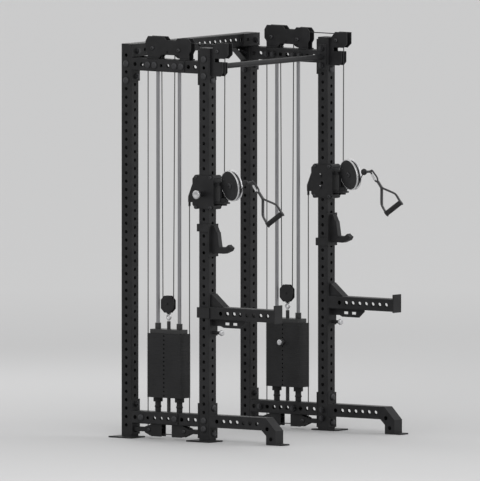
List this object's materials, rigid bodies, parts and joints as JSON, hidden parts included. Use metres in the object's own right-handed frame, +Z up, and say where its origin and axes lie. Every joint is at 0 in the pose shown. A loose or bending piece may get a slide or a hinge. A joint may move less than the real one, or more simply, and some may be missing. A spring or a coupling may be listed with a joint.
{
  "type": "cable crossover machine",
  "caption": "Four-post black steel gym rack with a weight-stack tower each side, height-adjustable swivel pulleys with strap handles, J-cups, safety arms and pull-up bar.",
  "frame": {"origin": "centre between the four uprights, on the floor", "axes": "+Z up, -Y towards the front feet and handles, +X towards the right tower"},
  "size_m": [1.4992, 1.3836, 2.432],
  "materials": {
    "powder_black": "matte powder coat",
    "zinc_black": "satin black zinc",
    "cable_black": "nylon-coated",
    "rubber_black": "matte",
    "silver": "satin",
    "pulley_black": "satin",
    "rod_steel": "satin",
    "stack_plate": "matte",
    "webbing": "woven nylon webbing"
  },
  "bodies": {
    "frame": {"corner_gussets": "powder_black", "fixed_cables": "cable_black", "frame_bolts": "zinc_black", "frame_nuts": "zinc_black", "front_feet": "powder_black", "front_pulley_brackets": "powder_black", "guide_rods": "rod_steel", "j_cup_liners": "rubber_black", "j_cups": "powder_black", "left_front_cable": "cable_black", "left_front_upright": "powder_black", "left_low_cable": "cable_black", "left_rear_upright": "powder_black", "left_stack_cable": "cable_black", "lower_crossmembers": "powder_black", "lower_pulley_brackets": "powder_black", "pull_up_bar": "powder_black", "rear_top_beam": "powder_black", "resting_plates": "stack_plate", "right_front_cable": "cable_black", "right_front_upright": "powder_black", "right_low_cable": "cable_black", "right_rear_upright": "powder_black", "right_stack_cable": "cable_black", "safety_arms": "powder_black", "stack_bumpers": "rubber_black", "top_pulley_housings": "powder_black", "upper_crossmembers": "powder_black"},
    "left_stack": {"left_stack_carriage": "powder_black", "left_lifted_plates": "stack_plate", "left_floating_housing": "powder_black"},
    "left_selector": {"left_selector_pin": "silver"},
    "left_trolley": {"left_trolley_body": "powder_black"},
    "left_trolley_pin": {"left_trolley_pin": "silver"},
    "left_swivel": {"left_swivel_bracket": "powder_black"},
    "left_handle": {"left_handle": "webbing"},
    "left_arm_pin": {"left_arm_pin": "silver"},
    "left_top_rear": {"left_top_rear_pulley": "pulley_black"},
    "left_top_middle": {"left_top_middle_pulley": "pulley_black"},
    "left_front_wheel": {"left_front_pulley": "pulley_black"},
    "left_floating": {"left_floating_pulley": "pulley_black"},
    "left_lower_rear": {"left_lower_rear_pulley": "pulley_black"},
    "left_lower_front": {"left_lower_front_pulley": "pulley_black"},
    "left_swivel_wheel": {"left_swivel_pulley": "pulley_black"},
    "right_stack": {"right_stack_carriage": "powder_black", "right_lifted_plates": "stack_plate", "right_floating_housing": "powder_black"},
    "right_selector": {"right_selector_pin": "silver"},
    "right_trolley": {"right_trolley_body": "powder_black"},
    "right_trolley_pin": {"right_trolley_pin": "silver"},
    "right_swivel": {"right_swivel_bracket": "powder_black"},
    "right_handle": {"right_handle": "webbing"},
    "right_arm_pin": {"right_arm_pin": "silver"},
    "right_top_rear": {"right_top_rear_pulley": "pulley_black"},
    "right_top_middle": {"right_top_middle_pulley": "pulley_black"},
    "right_front_wheel": {"right_front_pulley": "pulley_black"},
    "right_floating": {"right_floating_pulley": "pulley_black"},
    "right_lower_rear": {"right_lower_rear_pulley": "pulley_black"},
    "right_lower_front": {"right_lower_front_pulley": "pulley_black"},
    "right_swivel_wheel": {"right_swivel_pulley": "pulley_black"}
  },
  "joints": [
    {"name": "left_stack_lift", "type": "slide", "parent": "frame", "child": "left_stack", "axis": [0, 0, 1], "range_m": [0, 1.3], "deforming": ["left_stack_cable"]},
    {"name": "left_selector_pull", "type": "slide", "parent": "left_stack", "child": "left_selector", "axis": [1, 0, 0], "range_m": [0, 0.09]},
    {"name": "left_trolley_slide", "type": "slide", "parent": "frame", "child": "left_trolley", "axis": [0, 0, 1], "range_m": [-0.04, 0.5], "deforming": ["left_front_cable", "left_low_cable"]},
    {"name": "left_trolley_pin_pull", "type": "slide", "parent": "left_trolley", "child": "left_trolley_pin", "axis": [-1, 0, 0], "range_m": [0, 0.02]},
    {"name": "left_swivel_turn", "type": "hinge", "parent": "left_trolley", "child": "left_swivel", "pos_m": [-0.5842, -0.424, 1.5565], "axis": [0, 0, 1], "range_deg": [-50, 60]},
    {"name": "left_handle_pull", "type": "slide", "parent": "left_swivel", "child": "left_handle", "axis": [-0.3173, -0.9483, 0], "range_m": [0, 2.6]},
    {"name": "left_arm_pin_pull", "type": "slide", "parent": "frame", "child": "left_arm_pin", "axis": [0, -1, 0], "range_m": [0, 0.025]},
    {"name": "left_front_spin", "type": "hinge", "parent": "frame", "child": "left_front_wheel", "pos_m": [-0.5842, -0.388, 2.36], "axis": [1, 0, 0], "range_deg": [-2, 3727]},
    {"name": "left_top_middle_spin", "type": "hinge", "parent": "frame", "child": "left_top_middle", "pos_m": [-0.5842, -0.0923, 2.354], "axis": [1, 0, 0], "range_deg": [-2, 3241]},
    {"name": "left_floating_spin", "type": "hinge", "parent": "left_stack", "child": "left_floating", "pos_m": [-0.5842, 0.00405, 0.8153], "axis": [1, 0, 0], "range_deg": [-1846, 2]},
    {"name": "left_top_rear_spin", "type": "hinge", "parent": "frame", "child": "left_top_rear", "pos_m": [-0.5842, 0.106, 2.36], "axis": [1, 0, 0], "range_deg": [-47, 553]},
    {"name": "left_lower_rear_spin", "type": "hinge", "parent": "frame", "child": "left_lower_rear", "pos_m": [-0.5842, 0.134, 0.052], "axis": [1, 0, 0], "range_deg": [-98, 1196]},
    {"name": "left_lower_front_spin", "type": "hinge", "parent": "frame", "child": "left_lower_front", "pos_m": [-0.5842, -0.134, 0.052], "axis": [1, 0, 0], "range_deg": [-98, 1196]},
    {"name": "left_swivel_spin", "type": "hinge", "parent": "left_swivel", "child": "left_swivel_wheel", "pos_m": [-0.61085, -0.50366, 1.5565], "axis": [0.9391, -0.3142, 0.1392], "range_deg": [-2, 1776]},
    {"name": "right_stack_lift", "type": "slide", "parent": "frame", "child": "right_stack", "axis": [0, 0, 1], "range_m": [0, 1.3], "deforming": ["right_stack_cable"]},
    {"name": "right_selector_pull", "type": "slide", "parent": "right_stack", "child": "right_selector", "axis": [-1, 0, 0], "range_m": [0, 0.09]},
    {"name": "right_trolley_slide", "type": "slide", "parent": "frame", "child": "right_trolley", "axis": [0, 0, 1], "range_m": [-0.04, 0.5], "deforming": ["right_front_cable", "right_low_cable"]},
    {"name": "right_trolley_pin_pull", "type": "slide", "parent": "right_trolley", "child": "right_trolley_pin", "axis": [1, 0, 0], "range_m": [0, 0.02]},
    {"name": "right_swivel_turn", "type": "hinge", "parent": "right_trolley", "child": "right_swivel", "pos_m": [0.5842, -0.424, 1.5565], "axis": [0, 0, 1], "range_deg": [-50, 60]},
    {"name": "right_handle_pull", "type": "slide", "parent": "right_swivel", "child": "right_handle", "axis": [-0.3173, -0.9483, 0], "range_m": [0, 2.6]},
    {"name": "right_arm_pin_pull", "type": "slide", "parent": "frame", "child": "right_arm_pin", "axis": [0, -1, 0], "range_m": [0, 0.025]},
    {"name": "right_front_spin", "type": "hinge", "parent": "frame", "child": "right_front_wheel", "pos_m": [0.5842, -0.388, 2.36], "axis": [1, 0, 0], "range_deg": [-2, 3727]},
    {"name": "right_top_middle_spin", "type": "hinge", "parent": "frame", "child": "right_top_middle", "pos_m": [0.5842, -0.0923, 2.354], "axis": [1, 0, 0], "range_deg": [-2, 3241]},
    {"name": "right_floating_spin", "type": "hinge", "parent": "right_stack", "child": "right_floating", "pos_m": [0.5842, 0.00405, 0.8153], "axis": [1, 0, 0], "range_deg": [-1846, 2]},
    {"name": "right_top_rear_spin", "type": "hinge", "parent": "frame", "child": "right_top_rear", "pos_m": [0.5842, 0.106, 2.36], "axis": [1, 0, 0], "range_deg": [-47, 553]},
    {"name": "right_lower_rear_spin", "type": "hinge", "parent": "frame", "child": "right_lower_rear", "pos_m": [0.5842, 0.134, 0.052], "axis": [1, 0, 0], "range_deg": [-98, 1196]},
    {"name": "right_lower_front_spin", "type": "hinge", "parent": "frame", "child": "right_lower_front", "pos_m": [0.5842, -0.134, 0.052], "axis": [1, 0, 0], "range_deg": [-98, 1196]},
    {"name": "right_swivel_spin", "type": "hinge", "parent": "right_swivel", "child": "right_swivel_wheel", "pos_m": [0.55755, -0.50366, 1.5565], "axis": [0.9391, -0.3142, 0.1392], "range_deg": [-2, 1776]}
  ],
  "couplings": [
    {"joint": "left_handle_pull", "follows": "left_stack_lift", "ratio": 2},
    {"joint": "left_front_spin", "follows": "left_stack_lift", "rad_per_m": 50},
    {"joint": "left_top_middle_spin", "follows": "left_stack_lift", "rad_per_m": 43.478},
    {"joint": "left_floating_spin", "follows": "left_stack_lift", "rad_per_m": -24.752},
    {"joint": "left_top_rear_spin", "follows": "left_trolley_slide", "rad_per_m": 19.231},
    {"joint": "left_lower_rear_spin", "follows": "left_trolley_slide", "rad_per_m": 41.667},
    {"joint": "left_lower_front_spin", "follows": "left_trolley_slide", "rad_per_m": 41.667},
    {"joint": "left_swivel_spin", "follows": "left_stack_lift", "rad_per_m": 23.81},
    {"joint": "right_handle_pull", "follows": "right_stack_lift", "ratio": 2},
    {"joint": "right_front_spin", "follows": "right_stack_lift", "rad_per_m": 50},
    {"joint": "right_top_middle_spin", "follows": "right_stack_lift", "rad_per_m": 43.478},
    {"joint": "right_floating_spin", "follows": "right_stack_lift", "rad_per_m": -24.752},
    {"joint": "right_top_rear_spin", "follows": "right_trolley_slide", "rad_per_m": 19.231},
    {"joint": "right_lower_rear_spin", "follows": "right_trolley_slide", "rad_per_m": 41.667},
    {"joint": "right_lower_front_spin", "follows": "right_trolley_slide", "rad_per_m": 41.667},
    {"joint": "right_swivel_spin", "follows": "right_stack_lift", "rad_per_m": 23.81}
  ]
}
